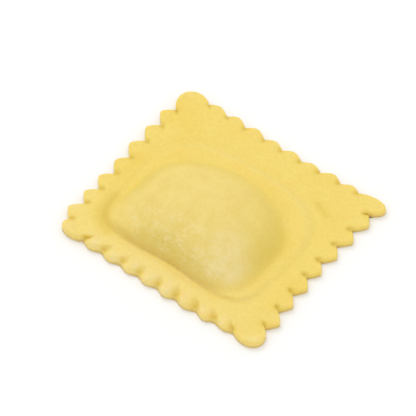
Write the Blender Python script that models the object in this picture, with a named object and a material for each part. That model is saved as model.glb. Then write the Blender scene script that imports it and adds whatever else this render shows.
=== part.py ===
"""A stuffed square of fresh egg pasta, pressed shut all round and cut out with a fluted wheel.

It is one solid piece. The pressed rim lies flat on the table, and the plump pillow stands up inside it.
"""
import math

import bmesh
import bpy
from mathutils import Vector, geometry

MM = 0.001
TINY = 0.000001

# Sizes are in millimetres. +X runs along the long side and +Z points up.
# Each side of the cut runs from its first notch to its last, anticlockwise from above, with even lobes.
# "reach" is how far the lobes stand out past the notches and "bow" how far the middle of the side bulges out.
# "roundness" is low for pointed teeth and high for round scallops, and "wave" turns them into an even wave.
# "edge" is the rounding of the top edge, "lean" how far the top of a notch lies in from its foot, "dimple"
# the depth pressed in behind a notch, "puff" how far a lobe swells up, and "length" how far in both reach.
SIDES = (
    {"first": (-19.5, -22.0), "last": (20.2, -21.95), "lobes": 8, "reach": 0.7, "bow": 0.4, "roundness": 2.0,
     "wave": 0.85, "edge": 1.05, "lean": 0.3, "dimple": 0.7, "length": 0.75, "puff": 0.32},
    {"first": (24.6, -17.1), "last": (23.9, 19.6), "lobes": 7, "reach": 1.95, "bow": -0.75, "roundness": 1.3,
     "wave": 0.0, "edge": 0.4, "lean": 0.25, "dimple": 0.5, "length": 0.6, "puff": 0.05},
    {"first": (19.4, 22.65), "last": (-20.2, 22.25), "lobes": 8, "reach": 0.85, "bow": -0.35, "roundness": 1.8,
     "wave": 0.35, "edge": 0.8, "lean": 0.2, "dimple": 0.3, "length": 0.8, "puff": 0.1},
    {"first": (-24.7, 16.8), "last": (-24.7, -19.9), "lobes": 7, "reach": 1.9, "bow": 0.2, "roundness": 1.4,
     "wave": 0.2, "edge": 0.6, "lean": 0.3, "dimple": 0.4, "length": 0.8, "puff": 0.1},
)
# The tip of the ear at the end of each side, where two cuts cross.
EAR_TIPS = ((25.9, -21.8), (25.6, 23.1), (-25.5, 22.0), (-23.9, -22.5))
# How far the hand-cut notches and lobe tips stray, and the numbers that make them stray unevenly.
UNEVEN_CUT = 0.22
UNEVEN_STEPS = (2.3, 1.1)
UNEVEN_REACH_START = 4.0
POINTS_PER_LOBE = 6

# The rim is not quite flat on top: it waves gently along and across.
RIM_THICKNESS = {"front": 1.8, "right": 1.45, "back": 1.6, "left": 1.7}
RIM_WAVE = 0.16
RIM_WAVE_LENGTHS = (30.0, 37.0)
RIM_WAVE_STARTS = (0.6, -0.4)
UNDER_EDGE = 0.2
LEAN_OF_CUT = 0.3

# Pillow sizes. Its plan is a rounded rectangle with a reach for each side and a squareness for each corner:
# round near the top and squarer at the foot. Its flank is partly a dome and partly a steeper fall at the foot.
PILLOW_MIDDLE = (-0.5, -2.4)
PILLOW_HEIGHT = 10.2
PILLOW_REACH = {"front": 14.5, "right": 17.3, "back": 14.3, "left": 19.0}
FOOT_SQUARENESS = {"front left": 5.2, "front right": 4.0, "back right": 2.0, "back left": 2.1}
CROWN_SQUARENESS = {"front left": 2.5, "front right": 2.6, "back right": 1.85, "back left": 2.0}
CROWN_TO_FOOT = (0.6, 1.0)
DOME = {"front": 0.35, "right": 0.45, "back": 0.4, "left": 0.4}
STEEPNESS = {"front": 4.5, "right": 6.0, "back": 4.0, "left": 6.0}
FOOT_SOFTNESS = {"front": 1.1, "right": 1.65, "back": 2.1, "left": 1.7}
# The shelf is the low step that the press leaves round the foot of the pillow, except in front. Its step and
# groove, the groove at the front foot, the press line and the front roll lie at shares of the way out from the
# middle, with 1 at the outer edge of the shelf.
SHELF_REACH = {"front": 14.5, "right": 19.2, "back": 16.4, "left": 20.4}
SHELF_SQUARENESS = {"front left": 5.2, "front right": 5.2, "back right": 3.2, "back left": 3.0}
SHELF_HEIGHT = {"front": 0.0, "right": 0.5, "back": 0.6, "left": 0.35}
SHELF_STEP = (1.05, 0.94)
SHELF_GROOVE = {"front": 0.0, "right": 0.08, "back": 0.2, "left": 0.15}
SHELF_GROOVE_PLACE = 1.055
SHELF_GROOVE_WIDTH = 0.05
FRONT_WAIST = 0.06
FRONT_WAIST_WIDTH = 0.4
FOOT_GROOVE = 0.45
FOOT_GROOVE_WIDTH = 0.035
PRESS_LINE = 1.13
FRONT_ROLL = 0.4
FRONT_ROLL_PLACE = 1.19
FRONT_ROLL_WIDTH = 0.1
# Soft creases that the press left in the rim: one by the back right corner, one round the front left corner.
PRESS_MARKS = (
    {"path": ((14.2, 14.9), (17.3, 13.6)), "depth": 0.2, "width": 0.7},
    {"path": ((-20.6, -9.0), (-20.2, -13.0), (-18.7, -16.0), (-16.5, -17.3)), "depth": 0.2, "width": 1.5},
)

# Where the rings of the body lie. The edge arc is in degrees round the top edge of the cut. The rim rings are
# shares of the way from there to the press line. The pillow rings are shares of the way out to the edge of the
# shelf, and each group of crown rings has half the points of the one before, because the rings get short.
EDGE_ARC = (0.0, 45.0, 90.0)
RIM_RINGS = (0.13, 0.29, 0.48, 0.72, 1.0)
PILLOW_RINGS = (1.08, 1.04, 1.005, 0.975, 0.94, 0.9, 0.85, 0.79, 0.72)
CROWN_RINGS = ((0.64, 0.54, 0.43), (0.3, 0.15))


def uneven(count, start):
    """A small hand-made difference from lobe to lobe, between -1 and 1."""
    return math.sin(UNEVEN_STEPS[0] * count + start) * math.cos(UNEVEN_STEPS[1] * count + 2.0 * start)


def side_notches(side, number):
    """The notches of one side, with their outward direction."""
    first = Vector(side["first"])
    last = Vector(side["last"])
    along = last - first
    outward = Vector((along.y, -along.x)).normalized()
    notches = []
    for count in range(side["lobes"] + 1):
        share = count / side["lobes"]
        place = first + along * share + outward * side["bow"] * math.sin(math.pi * share)
        if 0 < count < side["lobes"]:
            place += along.normalized() * UNEVEN_CUT * uneven(count, number)
        notches.append((place, outward))
    return notches


def side_finish(side, next_side, share):
    """The finish of the cut edge part of the way from one side to the next."""
    finish = {}
    for name in ("edge", "lean", "dimple", "length", "puff"):
        finish[name] = side[name] * (1.0 - share) + next_side[name] * share
    return finish


def lobe_points(start, end, outward, side, number):
    """Points along one lobe, from its first notch up to but not including its next."""
    points = []
    reach = side["reach"] + UNEVEN_CUT * uneven(number, UNEVEN_REACH_START)
    for step in range(POINTS_PER_LOBE):
        share = step / POINTS_PER_LOBE
        arch = 1.0 - abs(2.0 * share - 1.0) ** side["roundness"]
        height = arch + (math.sin(math.pi * share) ** 2 - arch) * side["wave"]
        root = start.lerp(end, share)
        place = root + outward * reach * height
        points.append({"place": place, "root": root, "height": height, **side_finish(side, side, share)})
    return points


def ear_points(start, end, tip, side, next_side):
    """Points round one corner ear, a half oval from the last notch of a side to the first of the next."""
    points = []
    steps = 2 * POINTS_PER_LOBE
    middle = (start + end) * 0.5
    for step in range(steps):
        turn = math.pi * step / steps
        share = 0.5 - 0.5 * math.cos(turn)
        height = math.sin(turn)
        root = start.lerp(end, share)
        place = root + (Vector(tip) - middle) * height
        points.append({"place": place, "root": root, "height": height, **side_finish(side, next_side, share)})
    return points


def cut_outline():
    """The whole fluted cut, anticlockwise from above."""
    notches = [side_notches(side, number) for number, side in enumerate(SIDES)]
    outline = []
    for number, side in enumerate(SIDES):
        row = notches[number]
        for count in range(side["lobes"]):
            start, outward = row[count]
            outline += lobe_points(start, row[count + 1][0], outward, side, count + 10 * number)
        following = (number + 1) % len(SIDES)
        outline += ear_points(row[-1][0], notches[following][0][0], EAR_TIPS[number], side, SIDES[following])
    measure_rim(outline)
    return outline


def crest_distance(point):
    """How far in from the cut its rounded top edge ends."""
    return point["edge"] + point["lean"] * (1.0 - point["height"])


def neighbours(outline, number):
    """The points of the outline that lie within one lobe of a point."""
    places = range(number - POINTS_PER_LOBE, number + POINTS_PER_LOBE + 1)
    return [outline[place % len(outline)] for place in places]


def measure_rim(outline):
    """Adds to each point its place on the press line and the flat width up to there, also evened out."""
    middle = Vector(PILLOW_MIDDLE)
    for point in outline:
        point["press"] = middle + (point["root"] - middle) * PRESS_LINE / shelf_share(*point["root"])
        point["lobe"] = (point["place"] - point["root"]).length
        point["width"] = point["lobe"] + (point["root"] - point["press"]).length
        point["flat"] = point["width"] - crest_distance(point)
    for number, point in enumerate(outline):
        near = neighbours(outline, number)
        point["even_flat"] = sum(other["flat"] for other in near) / len(near)


def way_from_middle(x, y):
    """How far across and along a place is from the middle of the pillow, with the sides it is towards."""
    across = x - PILLOW_MIDDLE[0]
    along = y - PILLOW_MIDDLE[1]
    return abs(across), abs(along), "right" if across > 0.0 else "left", "back" if along > 0.0 else "front"


def rounded_share(x, y, reach, squareness):
    """0 at the middle and 1 on a rounded square of the given reach, drawn in a little at the front."""
    across, along, side_way, depth_way = way_from_middle(x, y)
    across /= reach[side_way]
    along /= reach[depth_way]
    if depth_way == "front":
        along /= 1.0 - FRONT_WAIST * bell(across / max(along, TINY), FRONT_WAIST_WIDTH)
    power = squareness[depth_way + " " + side_way]
    return (across ** power + along ** power) ** (1.0 / power)


def shelf_share(x, y):
    """0 at the middle of the pillow, 1 at the outer edge of its shelf and more outside."""
    return rounded_share(x, y, SHELF_REACH, SHELF_SQUARENESS)


def pillow_share(x, y):
    """0 at the middle of the pillow and 1 at its foot: round near the top and squarer lower down."""
    foot = rounded_share(x, y, PILLOW_REACH, FOOT_SQUARENESS)
    crown = rounded_share(x, y, PILLOW_REACH, CROWN_SQUARENESS)
    return min(1.0, crown + (foot - crown) * smooth_step(*CROWN_TO_FOOT, foot))


def by_way(values, x, y):
    """A size that changes smoothly round the pillow from front to right to back to left."""
    across, along, side_way, depth_way = way_from_middle(x, y)
    across = (across / SHELF_REACH[side_way]) ** 2
    along = (along / SHELF_REACH[depth_way]) ** 2
    part = across / (across + along + TINY)
    return values[side_way] * part + values[depth_way] * (1.0 - part)


def towards_front(x, y):
    """1 in front of the pillow and 0 behind and beside it, smoothly."""
    return by_way({"front": 1.0, "right": 0.0, "back": 0.0, "left": 0.0}, x, y)


def way_in(point, away):
    """The place in plan at a distance in from the cut: across the lobe to its root, then on to the pillow."""
    if away < point["lobe"]:
        return point["place"].lerp(point["root"], away / point["lobe"])
    return point["root"] + (point["press"] - point["root"]).normalized() * (away - point["lobe"])


def bell(distance, width):
    """A smooth hump of height 1 at distance 0."""
    return math.exp(-(distance / width) ** 2)


def smooth_step(low, high, value):
    """0 at the low value and 1 at the high one, smoothly in between. Low may be the greater of the two."""
    share = min(1.0, max(0.0, (value - low) / (high - low)))
    return share * share * (3.0 - 2.0 * share)


def rim_wave(x, y):
    """How far the rim waves up or down."""
    along = math.sin(2.0 * math.pi * x / RIM_WAVE_LENGTHS[0] + RIM_WAVE_STARTS[0])
    across = math.sin(2.0 * math.pi * y / RIM_WAVE_LENGTHS[1] + RIM_WAVE_STARTS[1])
    return RIM_WAVE * along * across


def distance_to_path(x, y, path):
    """Distance from a place to a path of straight steps."""
    place = Vector((x, y))
    distances = []
    for start, end in zip(path, path[1:]):
        spot, share = geometry.intersect_point_line(place, Vector(start), Vector(end))
        if share < 0.0 or share > 1.0:
            spot = Vector(start if share < 0.0 else end)
        distances.append((place - spot.to_2d()).length)
    return min(distances)


def press_marks(x, y):
    """How deep the press marks are at a place."""
    depth = 0.0
    for mark in PRESS_MARKS:
        depth += mark["depth"] * bell(distance_to_path(x, y, mark["path"]), mark["width"])
    return depth


def body_rise(x, y):
    """How far the pillow stands up at a place: 1 at its top and 0 at its foot."""
    share = pillow_share(x, y)
    dome = by_way(DOME, x, y)
    fall = dome * share ** 2 + (1.0 - dome) * share ** by_way(STEEPNESS, x, y)
    return (1.0 - fall) ** by_way(FOOT_SOFTNESS, x, y)


def dough_height(x, y):
    """Height of the upper surface over the table, away from the cut edge."""
    share = shelf_share(x, y)
    front = towards_front(x, y)
    thickness = by_way(RIM_THICKNESS, x, y)
    height = thickness + rim_wave(x, y) * min(1.0, share)
    height += (PILLOW_HEIGHT - thickness) * body_rise(x, y)
    height += by_way(SHELF_HEIGHT, x, y) * smooth_step(*SHELF_STEP, share) * (1.0 - body_rise(x, y))
    height -= by_way(SHELF_GROOVE, x, y) * bell(share - SHELF_GROOVE_PLACE, SHELF_GROOVE_WIDTH)
    height += FRONT_ROLL * front * bell(share - FRONT_ROLL_PLACE, FRONT_ROLL_WIDTH)
    height -= FOOT_GROOVE * front * bell(share - 1.0, FOOT_GROOVE_WIDTH)
    return height - press_marks(x, y)


def rim_place(point, away):
    """A place on top of the rim, at a distance in from the cut, with the relief that the wheel left."""
    plan = way_in(point, away)
    height = dough_height(plan.x, plan.y)
    swell = point["puff"] * point["height"] - point["dimple"] * (1.0 - point["height"]) ** 2
    height += swell * bell(away - crest_distance(point), point["length"])
    return Vector((plan.x, plan.y, height))


def rim_ring_place(point, share):
    """A place on the rim at a share of the way from the rounded edge to the press line."""
    flat = point["flat"] + (point["even_flat"] - point["flat"]) * share ** 2
    return rim_place(point, point["width"] - flat * (1.0 - share))


def edge_place(point, degrees):
    """A place on the rounded top edge: 0 degrees where it leaves the upright cut, 90 on top of the rim."""
    turn = math.radians(degrees)
    radius = point["edge"]
    lean = point["lean"] * (1.0 - point["height"])
    crest = rim_place(point, crest_distance(point))
    away = radius * (1.0 - math.cos(turn)) + lean * (LEAN_OF_CUT + (1.0 - LEAN_OF_CUT) * degrees / 90.0)
    plan = way_in(point, away)
    drop = min(radius, crest.z - UNDER_EDGE)
    return Vector((plan.x, plan.y, crest.z - drop * (1.0 - math.sin(turn))))


def under_place(point, away, height):
    """A place on the lower edge of the cut."""
    plan = way_in(point, away)
    return Vector((plan.x, plan.y, height))


def pillow_place(x, y, share):
    """The place between the pillow's middle and a point, at a share of the way out to the edge of the shelf."""
    middle = Vector(PILLOW_MIDDLE)
    plan = middle + (Vector((x, y)) - middle) * (share / shelf_share(x, y))
    return Vector((plan.x, plan.y, dough_height(plan.x, plan.y)))


def pull_cap(dough, cap, places, keep=False):
    """Extrudes the cap on to the next ring of places. The old cap goes, unless it is the underside."""
    made = bmesh.ops.extrude_face_region(dough, geom=[cap])["geom"]
    if not keep:
        bmesh.ops.delete(dough, geom=[cap], context="FACES_ONLY")
    cap = next(item for item in made if isinstance(item, bmesh.types.BMFace))
    for corner, place in zip(cap.verts, places):
        corner.co = place * MM
    return cap


def halve_cap(dough, cap):
    """Merges the cap's corners two by two, because the rings get short towards the middle."""
    bmesh.ops.collapse(dough, edges=list(cap.edges)[::2])
    return next(face for face in dough.faces if len(face.verts) > 4 and face.calc_center_median().z > MM)


def make_dough():
    """Builds the closed body ring by ring: flat underside, cut edge, rim, pillow."""
    outline = cut_outline()
    dough = bmesh.new()
    bmesh.ops.create_circle(dough, cap_ends=True, segments=len(outline), radius=PILLOW_REACH["right"] * MM)
    dough.faces.ensure_lookup_table()
    cap = dough.faces[0]
    for corner, point in zip(cap.verts, outline):
        corner.co = under_place(point, UNDER_EDGE, 0.0) * MM
    cap = pull_cap(dough, cap, [under_place(point, 0.0, UNDER_EDGE) for point in outline], keep=True)
    for degrees in EDGE_ARC:
        cap = pull_cap(dough, cap, [edge_place(point, degrees) for point in outline])
    for share in RIM_RINGS:
        cap = pull_cap(dough, cap, [rim_ring_place(point, share) for point in outline])
    for share in PILLOW_RINGS:
        cap = pull_cap(dough, cap, [pillow_place(*(corner.co.xy / MM), share) for corner in cap.verts])
    for ring_shares in CROWN_RINGS:
        cap = halve_cap(dough, cap)
        for share in ring_shares:
            cap = pull_cap(dough, cap, [pillow_place(*(corner.co.xy / MM), share) for corner in cap.verts])
    top = bmesh.ops.poke(dough, faces=[cap])["verts"][0]
    top.co = Vector((*PILLOW_MIDDLE, dough_height(*PILLOW_MIDDLE))) * MM
    bmesh.ops.recalc_face_normals(dough, faces=dough.faces)
    return dough


def stand_on_origin(dough):
    """Moves the body so that the middle of its flat underside is at the origin."""
    xs = [vert.co.x for vert in dough.verts]
    ys = [vert.co.y for vert in dough.verts]
    middle = Vector(((min(xs) + max(xs)) / 2.0, (min(ys) + max(ys)) / 2.0, 0.0))
    bmesh.ops.translate(dough, verts=dough.verts, vec=-middle)


def egg_dough_material():
    """Fresh egg pasta: warm pale yellow, dull."""
    material = bpy.data.materials.new("egg_dough")
    material.use_nodes = True
    shader = material.node_tree.nodes["Principled BSDF"]
    shader.inputs["Base Color"].default_value = (0.87, 0.67, 0.2, 1.0)
    shader.inputs["Roughness"].default_value = 0.6
    shader.inputs["Metallic"].default_value = 0.0
    return material


def make_ravioli(collection):
    """The one sub-part: the whole stuffed square."""
    dough = make_dough()
    stand_on_origin(dough)
    mesh = bpy.data.meshes.new("ravioli")
    dough.to_mesh(mesh)
    dough.free()
    mesh.shade_smooth()
    mesh.materials.append(egg_dough_material())
    collection.objects.link(bpy.data.objects.new("ravioli", mesh))


for leftover in list(bpy.data.objects):
    bpy.data.objects.remove(leftover)
pasta = bpy.data.collections.new("ravioli")
bpy.context.scene.collection.children.link(pasta)
make_ravioli(pasta)
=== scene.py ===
import math

import bmesh
import bpy
import numpy as np
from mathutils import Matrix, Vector, geometry, noise


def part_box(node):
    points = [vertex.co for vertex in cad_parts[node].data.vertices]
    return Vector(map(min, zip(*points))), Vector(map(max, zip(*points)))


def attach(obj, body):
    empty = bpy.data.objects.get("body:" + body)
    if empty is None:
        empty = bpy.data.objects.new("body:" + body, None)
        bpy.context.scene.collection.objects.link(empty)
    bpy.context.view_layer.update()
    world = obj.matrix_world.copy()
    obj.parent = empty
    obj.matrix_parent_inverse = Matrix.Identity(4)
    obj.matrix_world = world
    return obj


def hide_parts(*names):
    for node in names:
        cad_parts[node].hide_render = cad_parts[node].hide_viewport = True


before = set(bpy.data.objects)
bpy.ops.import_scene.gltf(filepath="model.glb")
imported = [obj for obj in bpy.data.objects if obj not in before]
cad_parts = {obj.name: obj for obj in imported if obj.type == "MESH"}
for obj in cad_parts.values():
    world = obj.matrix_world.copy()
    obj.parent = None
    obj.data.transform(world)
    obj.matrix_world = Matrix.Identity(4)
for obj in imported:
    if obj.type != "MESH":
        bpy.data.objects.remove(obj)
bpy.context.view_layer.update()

# The stuffed square of fresh egg pasta
# Two rolled sheets of egg dough are pressed together round the pillow, so one body of dough is all that
# shows. The press leaves the flat rim and a sharp crease in front of the pillow. The fluted wheel cuts the
# lobes, drags the dough down at the notches and leaves four ears where two cuts cross.
MM = 0.001
TINY = 0.000001
# The sides of the cut: front, right, back and left. Each has its end notches, the number and form of its
# lobes, the radius and lean of its rounded edge, and the dimples and puffs behind it. Lengths are in mm.
SIDES = (
    {"first": (-19.5, -22.0), "last": (20.2, -21.95), "lobes": 8,
     "reach": 0.7, "bow": 0.4, "roundness": 2.0, "wave": 0.85,
     "edge": 1.05, "lean": 0.3, "dimple": 0.7, "length": 0.75, "puff": 0.32},
    {"first": (24.6, -17.1), "last": (23.9, 19.6), "lobes": 7,
     "reach": 1.95, "bow": -0.75, "roundness": 1.3, "wave": 0.0,
     "edge": 0.4, "lean": 0.25, "dimple": 0.5, "length": 0.6, "puff": 0.05},
    {"first": (19.4, 22.65), "last": (-20.2, 22.25), "lobes": 8,
     "reach": 0.85, "bow": -0.35, "roundness": 1.8, "wave": 0.35,
     "edge": 0.8, "lean": 0.2, "dimple": 0.3, "length": 0.8, "puff": 0.1},
    {"first": (-24.7, 16.8), "last": (-24.7, -19.9), "lobes": 7,
     "reach": 1.9, "bow": 0.2, "roundness": 1.4, "wave": 0.2,
     "edge": 0.6, "lean": 0.3, "dimple": 0.4, "length": 0.8, "puff": 0.1},
)
EAR_TIPS = ((25.9, -21.8), (25.6, 23.1), (-25.5, 22.0), (-23.9, -22.5))
# How far the hand-led wheel strayed at each notch and lobe, in mm, and the rhythm of it.
UNEVEN_CUT = 0.22
UNEVEN_STEPS = (2.3, 1.1)
UNEVEN_REACH_START = 4.0
POINTS_PER_LOBE = 16

RIM_THICKNESS = {"front": 1.8, "right": 1.45, "back": 1.6, "left": 1.7}
RIM_WAVE = 0.16
RIM_WAVE_LENGTHS = (30.0, 37.0)
RIM_WAVE_STARTS = (0.6, -0.4)
LEAN_OF_CUT = 0.3
# The small bevel under the cut, in mm, and the share of it at which its middle ring lies.
UNDER_EDGE = 0.2
UNDER_BEND = 0.3

PILLOW_MIDDLE = (-0.5, -2.4)
PILLOW_HEIGHT = 10.2
PILLOW_REACH = {"front": 14.5, "right": 17.3, "back": 14.3, "left": 19.0}
FOOT_SQUARENESS = {"front left": 5.2, "front right": 4.0, "back right": 2.0, "back left": 2.1}
CROWN_SQUARENESS = {"front left": 2.5, "front right": 2.6, "back right": 1.85, "back left": 2.0}
CROWN_TO_FOOT = (0.6, 1.0)
DOME = {"front": 0.35, "right": 0.45, "back": 0.4, "left": 0.4}
STEEPNESS = {"front": 4.5, "right": 6.0, "back": 4.0, "left": 6.0}
FOOT_SOFTNESS = {"front": 1.1, "right": 1.65, "back": 2.1, "left": 1.7}
# The shelf is the low step that the press leaves round the foot of the pillow, except in front.
SHELF_REACH = {"front": 14.5, "right": 19.2, "back": 16.4, "left": 20.4}
SHELF_SQUARENESS = {"front left": 5.2, "front right": 5.2, "back right": 3.2, "back left": 3.0}
SHELF_HEIGHT = {"front": 0.0, "right": 0.5, "back": 0.6, "left": 0.35}
SHELF_STEP = (1.05, 0.94)
SHELF_GROOVE = {"front": 0.0, "right": 0.08, "back": 0.2, "left": 0.15}
SHELF_GROOVE_PLACE = 1.055
SHELF_GROOVE_WIDTH = 0.05
FRONT_WAIST = 0.06
FRONT_WAIST_WIDTH = 0.4
FOOT_GROOVE = 0.45
FOOT_GROOVE_WIDTH = 0.035
PRESS_LINE = 1.13
FRONT_ROLL = 0.4
FRONT_ROLL_PLACE = 1.19
FRONT_ROLL_WIDTH = 0.1
# Soft creases that the press left in the rim: one by the back right corner, one round the front left corner.
PRESS_MARKS = (
    {"path": ((14.2, 14.9), (17.3, 13.6)), "depth": 0.2, "width": 0.7},
    {"path": ((-20.6, -9.0), (-20.2, -13.0), (-18.7, -16.0), (-16.5, -17.3)), "depth": 0.2, "width": 1.5},
)

# The hand-made unevenness of the dough: how high its lumps stand and how far apart they lie, in mm. They fade
# out over the rim, between two shares of the way out to the edge of the shelf. The level, in mm, picks which
# slice of the noise is used.
LUMPS_FADE = (1.5, 1.1)
LUMPS_LEVEL = 3.0
LUMPS = (
    {"height": 0.11, "apart": 8.0},
    {"height": 0.05, "apart": 3.6},
    {"height": 0.02, "apart": 1.5},
)

# Where the rings of the body lie. Underneath they are shares of the way out to the cut. The edge arc is in
# degrees. On the pillow they are shares of the way out to the edge of the shelf, and each group of crown
# rings has half the points of the one before.
UNDER_RINGS = (0.5, 0.8, 0.93)
EDGE_ARC = (0.0, 15.0, 30.0, 45.0, 60.0, 75.0, 90.0)
RIM_RING_COUNT = 20
PILLOW_RINGS = (1.11, 1.09, 1.07, 1.055, 1.04, 1.025, 1.012, 1.0, 0.988, 0.975, 0.96, 0.94, 0.92, 0.9, 0.88,
                0.855, 0.83, 0.8, 0.77, 0.74, 0.71, 0.68, 0.65, 0.62, 0.58, 0.54, 0.5)
CROWN_RINGS = ((0.46, 0.42, 0.38, 0.34, 0.3), (0.26, 0.22, 0.18), (0.14, 0.1, 0.05))


def uneven(count, start):
    return math.sin(UNEVEN_STEPS[0] * count + start) * math.cos(UNEVEN_STEPS[1] * count + 2.0 * start)


def side_notches(side, number):
    first = Vector(side["first"])
    last = Vector(side["last"])
    along = last - first
    outward = Vector((along.y, -along.x)).normalized()
    notches = []
    for count in range(side["lobes"] + 1):
        share = count / side["lobes"]
        place = first + along * share + outward * side["bow"] * math.sin(math.pi * share)
        if 0 < count < side["lobes"]:
            place += along.normalized() * UNEVEN_CUT * uneven(count, number)
        notches.append((place, outward))
    return notches


def side_finish(side, next_side, share):
    return {
        name: side[name] * (1.0 - share) + next_side[name] * share
        for name in ("edge", "lean", "dimple", "length", "puff")
    }


def lobe_points(start, end, outward, side, number):
    points = []
    reach = side["reach"] + UNEVEN_CUT * uneven(number, UNEVEN_REACH_START)
    for step in range(POINTS_PER_LOBE):
        share = step / POINTS_PER_LOBE
        arch = 1.0 - abs(2.0 * share - 1.0) ** side["roundness"]
        height = arch + (math.sin(math.pi * share) ** 2 - arch) * side["wave"]
        root = start.lerp(end, share)
        place = root + outward * reach * height
        points.append({"place": place, "root": root, "height": height, **side_finish(side, side, share)})
    return points


def ear_points(start, end, tip, side, next_side):
    points = []
    steps = 2 * POINTS_PER_LOBE
    middle = (start + end) * 0.5
    for step in range(steps):
        turn = math.pi * step / steps
        share = 0.5 - 0.5 * math.cos(turn)
        height = math.sin(turn)
        root = start.lerp(end, share)
        place = root + (Vector(tip) - middle) * height
        points.append({"place": place, "root": root, "height": height, **side_finish(side, next_side, share)})
    return points


def cut_outline():
    notches = [side_notches(side, number) for number, side in enumerate(SIDES)]
    outline = []
    for number, side in enumerate(SIDES):
        row = notches[number]
        for count in range(side["lobes"]):
            start, outward = row[count]
            outline += lobe_points(start, row[count + 1][0], outward, side, count + 10 * number)
        following = (number + 1) % len(SIDES)
        outline += ear_points(row[-1][0], notches[following][0][0], EAR_TIPS[number], side, SIDES[following])
    measure_rim(outline)
    return outline


def crest_distance(point):
    return point["edge"] + point["lean"] * (1.0 - point["height"])


def neighbours(outline, number):
    places = range(number - POINTS_PER_LOBE, number + POINTS_PER_LOBE + 1)
    return [outline[place % len(outline)] for place in places]


def measure_rim(outline):
    middle = Vector(PILLOW_MIDDLE)
    for point in outline:
        point["press"] = middle + (point["root"] - middle) * PRESS_LINE / shelf_share(*point["root"])
        point["lobe"] = (point["place"] - point["root"]).length
        point["width"] = point["lobe"] + (point["root"] - point["press"]).length
        point["flat"] = point["width"] - crest_distance(point)
    for number, point in enumerate(outline):
        near = neighbours(outline, number)
        point["even_flat"] = sum(other["flat"] for other in near) / len(near)


def way_in(point, away):
    if away < point["lobe"]:
        return point["place"].lerp(point["root"], away / point["lobe"])
    return point["root"] + (point["press"] - point["root"]).normalized() * (away - point["lobe"])


def way_from_middle(x, y):
    across = x - PILLOW_MIDDLE[0]
    along = y - PILLOW_MIDDLE[1]
    return abs(across), abs(along), "right" if across > 0.0 else "left", "back" if along > 0.0 else "front"


def rounded_share(x, y, reach, squareness):
    across, along, side_way, depth_way = way_from_middle(x, y)
    across /= reach[side_way]
    along /= reach[depth_way]
    if depth_way == "front":
        along /= 1.0 - FRONT_WAIST * bell(across / max(along, TINY), FRONT_WAIST_WIDTH)
    power = squareness[depth_way + " " + side_way]
    return (across ** power + along ** power) ** (1.0 / power)


def shelf_share(x, y):
    return rounded_share(x, y, SHELF_REACH, SHELF_SQUARENESS)


def pillow_share(x, y):
    foot = rounded_share(x, y, PILLOW_REACH, FOOT_SQUARENESS)
    crown = rounded_share(x, y, PILLOW_REACH, CROWN_SQUARENESS)
    return min(1.0, crown + (foot - crown) * smooth_step(*CROWN_TO_FOOT, foot))


def by_way(values, x, y):
    across, along, side_way, depth_way = way_from_middle(x, y)
    across = (across / SHELF_REACH[side_way]) ** 2
    along = (along / SHELF_REACH[depth_way]) ** 2
    part = across / (across + along + TINY)
    return values[side_way] * part + values[depth_way] * (1.0 - part)


def towards_front(x, y):
    return by_way({"front": 1.0, "right": 0.0, "back": 0.0, "left": 0.0}, x, y)


def bell(distance, width):
    return math.exp(-(distance / width) ** 2)


def smooth_step(low, high, value):
    share = min(1.0, max(0.0, (value - low) / (high - low)))
    return share * share * (3.0 - 2.0 * share)


def rim_wave(x, y):
    along = math.sin(2.0 * math.pi * x / RIM_WAVE_LENGTHS[0] + RIM_WAVE_STARTS[0])
    across = math.sin(2.0 * math.pi * y / RIM_WAVE_LENGTHS[1] + RIM_WAVE_STARTS[1])
    return RIM_WAVE * along * across


def lumps(x, y):
    return sum(lump["height"] * noise.noise(Vector((x, y, LUMPS_LEVEL)) / lump["apart"]) for lump in LUMPS)


def distance_to_path(x, y, path):
    place = Vector((x, y))
    distances = []
    for start, end in zip(path, path[1:]):
        spot, share = geometry.intersect_point_line(place, Vector(start), Vector(end))
        if share < 0.0 or share > 1.0:
            spot = Vector(start if share < 0.0 else end)
        distances.append((place - spot.to_2d()).length)
    return min(distances)


def press_marks(x, y):
    depth = 0.0
    for mark in PRESS_MARKS:
        depth += mark["depth"] * bell(distance_to_path(x, y, mark["path"]), mark["width"])
    return depth


def body_rise(x, y):
    share = pillow_share(x, y)
    dome = by_way(DOME, x, y)
    fall = dome * share ** 2 + (1.0 - dome) * share ** by_way(STEEPNESS, x, y)
    return (1.0 - fall) ** by_way(FOOT_SOFTNESS, x, y)


def dough_height(x, y):
    share = shelf_share(x, y)
    front = towards_front(x, y)
    rise = body_rise(x, y)
    thickness = by_way(RIM_THICKNESS, x, y)
    height = thickness + rim_wave(x, y) * min(1.0, share) + lumps(x, y) * smooth_step(*LUMPS_FADE, share)
    height += (PILLOW_HEIGHT - thickness) * rise
    height += by_way(SHELF_HEIGHT, x, y) * smooth_step(*SHELF_STEP, share) * (1.0 - rise)
    height -= by_way(SHELF_GROOVE, x, y) * bell(share - SHELF_GROOVE_PLACE, SHELF_GROOVE_WIDTH)
    height += FRONT_ROLL * front * bell(share - FRONT_ROLL_PLACE, FRONT_ROLL_WIDTH)
    height -= FOOT_GROOVE * front * bell(share - 1.0, FOOT_GROOVE_WIDTH)
    return height - press_marks(x, y)


def rim_place(point, away):
    plan = way_in(point, away)
    height = dough_height(plan.x, plan.y)
    swell = point["puff"] * point["height"] - point["dimple"] * (1.0 - point["height"]) ** 2
    height += swell * bell(away - crest_distance(point), point["length"])
    return Vector((plan.x, plan.y, height))


def rim_ring_place(point, share):
    flat = point["flat"] + (point["even_flat"] - point["flat"]) * share ** 2
    return rim_place(point, point["width"] - flat * (1.0 - share))


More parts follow.
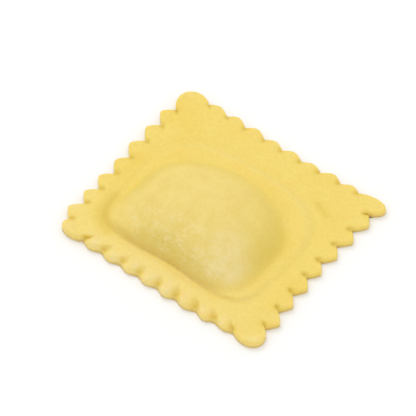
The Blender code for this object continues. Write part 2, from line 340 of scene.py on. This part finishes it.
def edge_place(point, degrees):
    turn = math.radians(degrees)
    radius = point["edge"]
    lean = point["lean"] * (1.0 - point["height"])
    crest = rim_place(point, crest_distance(point))
    away = radius * (1.0 - math.cos(turn)) + lean * (LEAN_OF_CUT + (1.0 - LEAN_OF_CUT) * degrees / 90.0)
    plan = way_in(point, away)
    drop = min(radius, crest.z - UNDER_EDGE)
    return Vector((plan.x, plan.y, crest.z - drop * (1.0 - math.sin(turn))))


def under_place(point, away, height):
    plan = way_in(point, away)
    return Vector((plan.x, plan.y, height))


def pillow_place(x, y, share):
    middle = Vector(PILLOW_MIDDLE)
    plan = middle + (Vector((x, y)) - middle) * (share / shelf_share(x, y))
    return Vector((plan.x, plan.y, dough_height(plan.x, plan.y)))


def pull_cap(dough, cap, places, keep=False):
    made = bmesh.ops.extrude_face_region(dough, geom=[cap])["geom"]
    if not keep:
        bmesh.ops.delete(dough, geom=[cap], context="FACES_ONLY")
    cap = next(item for item in made if isinstance(item, bmesh.types.BMFace))
    for corner, place in zip(cap.verts, places):
        corner.co = place * MM
    return cap


def halve_cap(dough, cap):
    bmesh.ops.collapse(dough, edges=list(cap.edges)[::2])
    return next(face for face in dough.faces if len(face.verts) > 4 and face.calc_center_median().z > MM)


outline = cut_outline()
dough = bmesh.new()
bmesh.ops.create_circle(dough, cap_ends=True, segments=len(outline), radius=PILLOW_REACH["right"] * MM)
dough.faces.ensure_lookup_table()
cap = dough.faces[0]
middle_of_base = Vector(PILLOW_MIDDLE)
for corner, point in zip(cap.verts, outline):
    corner.co = middle_of_base.lerp(point["place"], UNDER_RINGS[0]).to_3d() * MM
kept = True
for share in UNDER_RINGS[1:]:
    ring_places = [middle_of_base.lerp(point["place"], share).to_3d() for point in outline]
    cap = pull_cap(dough, cap, ring_places, keep=kept)
    kept = False
cap = pull_cap(dough, cap, [under_place(point, UNDER_EDGE, 0.0) for point in outline])
bend = UNDER_BEND * UNDER_EDGE
cap = pull_cap(dough, cap, [under_place(point, bend, bend) for point in outline])
cap = pull_cap(dough, cap, [under_place(point, 0.0, UNDER_EDGE) for point in outline])
for degrees in EDGE_ARC:
    cap = pull_cap(dough, cap, [edge_place(point, degrees) for point in outline])
for ring in range(RIM_RING_COUNT):
    share = (ring + 1) / RIM_RING_COUNT
    cap = pull_cap(dough, cap, [rim_ring_place(point, share) for point in outline])
for share in PILLOW_RINGS:
    cap = pull_cap(dough, cap, [pillow_place(*(corner.co.xy / MM), share) for corner in cap.verts])
for ring_shares in CROWN_RINGS:
    cap = halve_cap(dough, cap)
    for share in ring_shares:
        cap = pull_cap(dough, cap, [pillow_place(*(corner.co.xy / MM), share) for corner in cap.verts])
top = bmesh.ops.poke(dough, faces=[cap])["verts"][0]
top.co = Vector((*PILLOW_MIDDLE, dough_height(*PILLOW_MIDDLE))) * MM
bmesh.ops.recalc_face_normals(dough, faces=dough.faces)

low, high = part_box("ravioli")
xs = [vert.co.x for vert in dough.verts]
ys = [vert.co.y for vert in dough.verts]
centre = Vector(((min(xs) + max(xs)) / 2.0, (min(ys) + max(ys)) / 2.0, 0.0))
shift = Vector(((low.x + high.x) / 2.0, (low.y + high.y) / 2.0, low.z)) - centre
bmesh.ops.translate(dough, verts=dough.verts, vec=shift)

pasta_mesh = bpy.data.meshes.new("egg_pasta_square")
dough.to_mesh(pasta_mesh)
dough.free()
pasta_mesh.shade_smooth()
pasta = bpy.data.objects.new("egg_pasta_square", pasta_mesh)
bpy.context.scene.collection.objects.link(pasta)

# What the dough looks like from place to place, worked out from its own form:
# stuffed: 1 over the stuffed middle, where the dough looks paler
# flank shade: painted shade on the flank, by how steeply it stands, more in front and least behind, where it
# makes the dough look deeper in colour
# folds and crease shade: 1 in the creases and notches, where the pressed dough is deep yellow and painted
# shade darkens it further
# streaked: the front flank, where flour lies in short streaks
# flour and highlights: where the flour of the board clings, most on the front rim, with a paler nose on the
# pillow and painted highlights on the lobes' knobs and the shelf's ridge
# cut foot shade: 1 at the foot of the cut edge, where painted shade makes the dough tan
# A rise is a share of the pillow's height. A lean is 0 where the dough lies flat and 1 where it stands
# upright. In front the flank has to lean by FLANK_SHADE_FRONT more before it gets the painted shade.
STUFFED_RISE = (0.04, 0.3)
FLANK_SHADE_LEAN = (0.15, 0.32)
FLANK_SHADE_FRONT = 0.12
FLANK_SHADE_SIDES = {"front": 0.85, "right": 0.5, "back": 0.05, "left": 0.35}
STREAK_LEAN = (0.02, 0.15)
# The crease round the shelf, with its width in shares of the way out, the part of its colour that the press
# marks take, and the spots at the notches, in mm. The notch spots are painted shade, and the crease colour is
# partly pressed dough and partly painted shade.
FOLD_WIDTH = 0.035
FOLD_SIDES = {"front": 1.0, "right": 0.0, "back": 0.1, "left": 0.2}
MARK_FOLD_AND_SHADE = 0.45
NOTCH_SPOT = 0.7
NOTCH_SPOT_INWARD = 0.7
# Flour on the rim: how much each side has, the part of it that lies off the knobs, where the lobes' knobs get
# the rest as a painted highlight, and the part that the press marks lose.
DUST = {"front": 1.4, "right": 0.1, "back": 0.2, "left": 0.1}
DUST_OFF_KNOBS = 0.4
DUST_LOST_IN_MARKS = 0.8
# Flour on the pillow. It thins out as the dough leans and is gone at LYING_LEAN, except in front.
STUFFED_DUST = 0.25
LYING_LEAN = 0.25
# The painted highlight along the ridge at the outer edge of the shelf, with its place and width in shares of
# the way out.
RIDGE_PLACE = 0.99
RIDGE_WIDTH = 0.05
RIDGE_SIDES = {"front": 0.0, "right": 0.15, "back": 0.3, "left": 0.0}
# The nose is the pillow's front right shoulder, and NOSE_PALENESS is how much paler it is besides. The knobs
# are the swells on the lobes, which get a painted highlight. Places and widths are in mm.
NOSE = (13.0, -11.5)
NOSE_WIDTH = 6.0
NOSE_PALENESS = 1.6
KNOB_INWARD = 1.3
KNOB_WIDTH = 1.2
# The painted tan shade at the foot of the cut starts at CUT_TOP, is full by CUT_FADE below it and reaches
# CUT_DEPTH in, in mm.
CUT_TOP = 0.9
CUT_FADE = 0.25
CUT_DEPTH = 0.5
SAME_HEIGHT = 0.001
FAR_AWAY = 1000.0


def spots_along_cut(height, inward):
    spots = []
    for point in outline:
        if abs(point["height"] - height) < SAME_HEIGHT:
            spots.append(point["place"] + (point["press"] - point["root"]).normalized() * inward)
    return np.array(spots)


def between(values, low_high):
    return np.clip((values - low_high[0]) / (low_high[1] - low_high[0]), 0.0, 1.0)


def near_any(places, spots, width):
    nearest = np.full(len(places), FAR_AWAY)
    for spot in spots:
        nearest = np.minimum(nearest, np.hypot(places[:, 0] - spot[0], places[:, 1] - spot[1]))
    return np.exp(-(nearest / width) ** 2)


places = np.array([(vert.co - shift) / MM for vert in pasta_mesh.vertices])
lean_of_dough = np.array([1.0 - max(0.0, vert.normal.z) for vert in pasta_mesh.vertices])
upper = np.array([1.0 if vert.co.z > CUT_TOP * MM else 0.0 for vert in pasta_mesh.vertices])
shares = np.array([shelf_share(x, y) for x, y, z in places])
fronts = np.array([towards_front(x, y) for x, y, z in places])
marks = np.array([press_marks(x, y) for x, y, z in places]) / PRESS_MARKS[0]["depth"]
rises = np.array([body_rise(x, y) for x, y, z in places])
rim_dust = np.array([by_way(DUST, x, y) for x, y, z in places])
flank_shade_sides = np.array([by_way(FLANK_SHADE_SIDES, x, y) for x, y, z in places])
stuffed = between(rises, STUFFED_RISE)
ridge_highlight = np.exp(-((shares - RIDGE_PLACE) / RIDGE_WIDTH) ** 2)
ridge_highlight *= np.array([by_way(RIDGE_SIDES, x, y) for x, y, z in places])
lying = 1.0 - (1.0 - fronts) * np.clip(lean_of_dough / LYING_LEAN, 0.0, 1.0)
# Painted shade in the hollows at the notch roots.
notches = near_any(places, spots_along_cut(0.0, NOTCH_SPOT_INWARD), NOTCH_SPOT) * upper
# Painted highlights on the tops of the lobes' knobs.
knob_highlights = near_any(places, spots_along_cut(1.0, KNOB_INWARD), KNOB_WIDTH) * upper
crease_fold_and_shade = np.exp(-((shares - 1.0) / FOLD_WIDTH) ** 2)
crease_fold_and_shade *= np.array([by_way(FOLD_SIDES, x, y) for x, y, z in places])
cut_outline_places = np.array([point["place"] for point in outline])
cut_foot_shade = near_any(places, cut_outline_places, CUT_DEPTH)
cut_foot_shade *= np.clip((CUT_TOP - places[:, 2]) / CUT_FADE, 0.0, 1.0)
nose = np.exp(-(np.hypot(places[:, 0] - NOSE[0], places[:, 1] - NOSE[1]) / NOSE_WIDTH) ** 2)
rim_flour_and_knob_highlights = rim_dust * (DUST_OFF_KNOBS + (1.0 - DUST_OFF_KNOBS) * knob_highlights) * (1.0 - stuffed)
rim_flour_and_knob_highlights *= 1.0 - DUST_LOST_IN_MARKS * np.clip(marks, 0.0, 1.0)
pillow_flour_and_pale_nose = stuffed * lying * (STUFFED_DUST + NOSE_PALENESS * nose)
looks = {
    "stuffed": stuffed,
    "flank_shade": (between(lean_of_dough - FLANK_SHADE_FRONT * fronts, FLANK_SHADE_LEAN) * flank_shade_sides
              * between(rises, (0.0, STUFFED_RISE[0]))),
    "fold_and_crease_shade": np.clip(crease_fold_and_shade + MARK_FOLD_AND_SHADE * marks + notches, 0.0, 1.0) * upper,
    "streaked": between(lean_of_dough, STREAK_LEAN) * stuffed * fronts,
    "flour_and_highlights": np.clip(rim_flour_and_knob_highlights + pillow_flour_and_pale_nose + ridge_highlight, 0.0, 1.0) * (1.0 - notches),
    "cut_foot_shade": cut_foot_shade,
}
for name, values in looks.items():
    pasta_mesh.attributes.new(name, "FLOAT", "POINT").data.foreach_set("value", values.astype(np.float32))

RIM_YELLOW = (0.875, 0.67, 0.142, 1.0)
WARM_YELLOW = (0.87, 0.64, 0.11, 1.0)
STUFFED_YELLOW = (0.84, 0.65, 0.165, 1.0)
STUFFED_DULL = (0.805, 0.615, 0.14, 1.0)
FLANK_SHADE_YELLOW = (0.7, 0.525, 0.065, 1.0)
DEEP_YELLOW_AND_CREASE_SHADE = (0.72, 0.51, 0.055, 1.0)
FLOUR_AND_HIGHLIGHT_PALE = (0.87, 0.75, 0.41, 1.0)
CUT_FOOT_SHADE_TAN = (0.6, 0.4, 0.11, 1.0)

# How far apart the spots of each pattern in the dough lie, in mm. The grain of the streaks is scaled along
# each axis and then turned, in degrees.
PATCHES_APART = 9.0
MOTTLE_APART = 3.0
SPECKLES_APART = 0.7
FLECKS_APART = 0.5
STREAKS_APART = 0.6
STREAK_STRETCH = (0.6, 1.3, 1.0)
STREAK_TURN = 28.0
SKIN_APART = 1.1
FINE_APART = 0.3

dough_finish = bpy.data.materials.new("fresh_egg_dough")
dough_finish.use_nodes = True
tree = dough_finish.node_tree
shader = tree.nodes["Principled BSDF"]
object_places = tree.nodes.new("ShaderNodeTexCoord").outputs["Object"]


def look(name):
    node = tree.nodes.new("ShaderNodeAttribute")
    node.attribute_name = name
    return node.outputs["Fac"]


def grain(apart, detail, stretch=(1.0, 1.0, 1.0), turn=0.0):
    turned = tree.nodes.new("ShaderNodeMapping")
    turned.inputs["Rotation"].default_value = (0.0, 0.0, math.radians(turn))
    turned.inputs["Scale"].default_value = stretch
    tree.links.new(object_places, turned.inputs["Vector"])
    node = tree.nodes.new("ShaderNodeTexNoise")
    node.inputs["Scale"].default_value = 1.0 / (apart * MM)
    node.inputs["Detail"].default_value = detail
    tree.links.new(turned.outputs["Vector"], node.inputs["Vector"])
    return node.outputs["Fac"]


def spread(value, low, high, to_low=0.0, to_high=1.0):
    node = tree.nodes.new("ShaderNodeMapRange")
    tree.links.new(value, node.inputs["Value"])
    for name, number in (("From Min", low), ("From Max", high), ("To Min", to_low), ("To Max", to_high)):
        node.inputs[name].default_value = number
    return node.outputs["Result"]


def both(first, second):
    node = tree.nodes.new("ShaderNodeMath")
    node.operation = "MULTIPLY"
    tree.links.new(first, node.inputs[0])
    tree.links.new(second, node.inputs[1])
    return node.outputs["Value"]


def blend(share, first, second):
    node = tree.nodes.new("ShaderNodeMix")
    node.data_type = "RGBA"
    tree.links.new(share, node.inputs["Factor"])
    for socket, colour in ((node.inputs[6], first), (node.inputs[7], second)):
        if isinstance(colour, tuple):
            socket.default_value = colour
        else:
            tree.links.new(colour, socket)
    return node.outputs[2]


# The colour of the dough: yellow on the rim, paler over the middle, with painted shade deepening it on the
# flank, and deep yellow in the folds, where painted shade darkens the creases too.
patches = grain(PATCHES_APART, 3.0)
mottle = grain(MOTTLE_APART, 4.0)
rim_colour = blend(spread(patches, 0.45, 0.7), RIM_YELLOW, WARM_YELLOW)
rim_colour = blend(spread(mottle, 0.5, 0.75, 0.0, 0.5), rim_colour, WARM_YELLOW)
stuffed_colour = blend(spread(mottle, 0.3, 0.65), STUFFED_DULL, STUFFED_YELLOW)
colour = blend(look("stuffed"), rim_colour, stuffed_colour)
# Painted shade on the steep flanks of the pillow.
colour = blend(look("flank_shade"), colour, FLANK_SHADE_YELLOW)
# Deep yellow of the pressed folds, with painted shade in the creases and at the notches.
colour = blend(look("fold_and_crease_shade"), colour, DEEP_YELLOW_AND_CREASE_SHADE)
colour = blend(spread(grain(SPECKLES_APART, 3.0), 0.4, 0.7, 0.0, 0.24), colour, DEEP_YELLOW_AND_CREASE_SHADE)

# Flour and painted highlights: a thin dust with painted highlights on the knobs and the shelf's ridge, small
# flecks, and short streaks that gather in patches on the front flank.
dust_and_highlights = both(look("flour_and_highlights"), spread(mottle, 0.3, 0.7, 0.25, 0.6))
colour = blend(dust_and_highlights, colour, FLOUR_AND_HIGHLIGHT_PALE)
flecks = both(look("flour_and_highlights"), spread(grain(FLECKS_APART, 2.0), 0.5, 0.75, 0.0, 0.4))
colour = blend(flecks, colour, FLOUR_AND_HIGHLIGHT_PALE)
streak_grain = grain(STREAKS_APART, 4.0, STREAK_STRETCH, STREAK_TURN)
streaks = both(look("streaked"), spread(streak_grain, 0.44, 0.74, 0.0, 0.75))
streaks = both(streaks, spread(mottle, 0.35, 0.6, 0.15, 1.0))
colour = blend(streaks, colour, FLOUR_AND_HIGHLIGHT_PALE)

# The painted tan shade at the foot of the cut, and a roughness that follows the mottle.
colour = blend(spread(look("cut_foot_shade"), 0.0, 1.0, 0.0, 0.6), colour, CUT_FOOT_SHADE_TAN)
tree.links.new(colour, shader.inputs["Base Color"])
tree.links.new(spread(mottle, 0.3, 0.7, 0.46, 0.6), shader.inputs["Roughness"])

# How deep the grain of the skin is, the share of light that goes into the dough, and how far in it goes.
# Depths are in mm, and red light goes furthest.
SKIN_GRAIN = 0.05
FINE_GRAIN = 0.015
LIGHT_SHARE = 0.3
LIGHT_REACH = 1.2
LIGHT_REACH_BY_COLOUR = (1.0, 0.6, 0.2)
skin = tree.nodes.new("ShaderNodeBump")
skin.inputs["Distance"].default_value = SKIN_GRAIN * MM
tree.links.new(grain(SKIN_APART, 3.0), skin.inputs["Height"])
fine = tree.nodes.new("ShaderNodeBump")
fine.inputs["Distance"].default_value = FINE_GRAIN * MM
tree.links.new(grain(FINE_APART, 2.0), fine.inputs["Height"])
tree.links.new(skin.outputs["Normal"], fine.inputs["Normal"])
tree.links.new(fine.outputs["Normal"], shader.inputs["Normal"])
shader.inputs["Subsurface Weight"].default_value = LIGHT_SHARE
shader.inputs["Subsurface Radius"].default_value = LIGHT_REACH_BY_COLOUR
shader.inputs["Subsurface Scale"].default_value = LIGHT_REACH * MM
pasta_mesh.materials.append(dough_finish)
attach(pasta, "root")
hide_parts("ravioli")

# The table
# A plain white table top, wide enough to fill the view from every side. It isn't part of the object.
TABLE_SIZE = 3.0
table_mesh = bpy.data.meshes.new("white_table")
table_form = bmesh.new()
bmesh.ops.create_grid(table_form, x_segments=1, y_segments=1, size=TABLE_SIZE / 2.0)
table_form.to_mesh(table_mesh)
table_form.free()
table = bpy.data.objects.new("white_table", table_mesh)
bpy.context.scene.collection.objects.link(table)
table_finish = bpy.data.materials.new("white_table_top")
table_finish.use_nodes = True
table_shader = table_finish.node_tree.nodes["Principled BSDF"]
table_shader.inputs["Base Color"].default_value = (0.97, 0.97, 0.97, 1.0)
table_shader.inputs["Roughness"].default_value = 0.8
table_mesh.materials.append(table_finish)

# The light
# An even white room and one large soft lamp above the back left corner, as on a photographer's light table.
ROOM_BRIGHTNESS = 0.93
room = bpy.data.worlds.new("white_room")
room.use_nodes = True
room.node_tree.nodes["Background"].inputs["Color"].default_value = (1.0, 1.0, 1.0, 1.0)
room.node_tree.nodes["Background"].inputs["Strength"].default_value = ROOM_BRIGHTNESS
bpy.context.scene.world = room

LAMP_PLACE = Vector((-0.45, 0.25, 0.75))
LAMP_SIZE = 0.5
LAMP_POWER = 1.3
lamp_light = bpy.data.lights.new("soft_lamp", "AREA")
lamp_light.shape = "DISK"
lamp_light.size = LAMP_SIZE
lamp_light.energy = LAMP_POWER
lamp = bpy.data.objects.new("soft_lamp", lamp_light)
lamp.location = LAMP_PLACE
lamp.rotation_euler = (-LAMP_PLACE).to_track_quat("-Z", "Y").to_euler()
bpy.context.scene.collection.objects.link(lamp)

# The camera
# It looks down on the front right corner from a good way off, so that the far edges look hardly smaller
# than the near ones.
VIEW_RIGHT = Vector((0.7923, 0.6101, 0.0))
VIEW_UP = Vector((-0.4863, 0.6315, 0.604))
VIEW_WIDTH = 86.67 * MM
AIM_RIGHT = -2.63 * MM
AIM_UP = 2.42 * MM
LENS = 1200.0
SENSOR = 36.0
aim = VIEW_RIGHT * AIM_RIGHT + VIEW_UP * AIM_UP
back = VIEW_RIGHT.cross(VIEW_UP).normalized()
camera_data = bpy.data.cameras.new("camera")
camera_data.lens = LENS
camera_data.sensor_width = SENSOR
camera = bpy.data.objects.new("camera", camera_data)
camera.location = aim + back * VIEW_WIDTH * LENS / SENSOR
camera.rotation_euler = back.to_track_quat("Z", "Y").to_euler()
bpy.context.scene.collection.objects.link(camera)
bpy.context.scene.camera = camera
bpy.context.scene.view_settings.view_transform = "Standard"
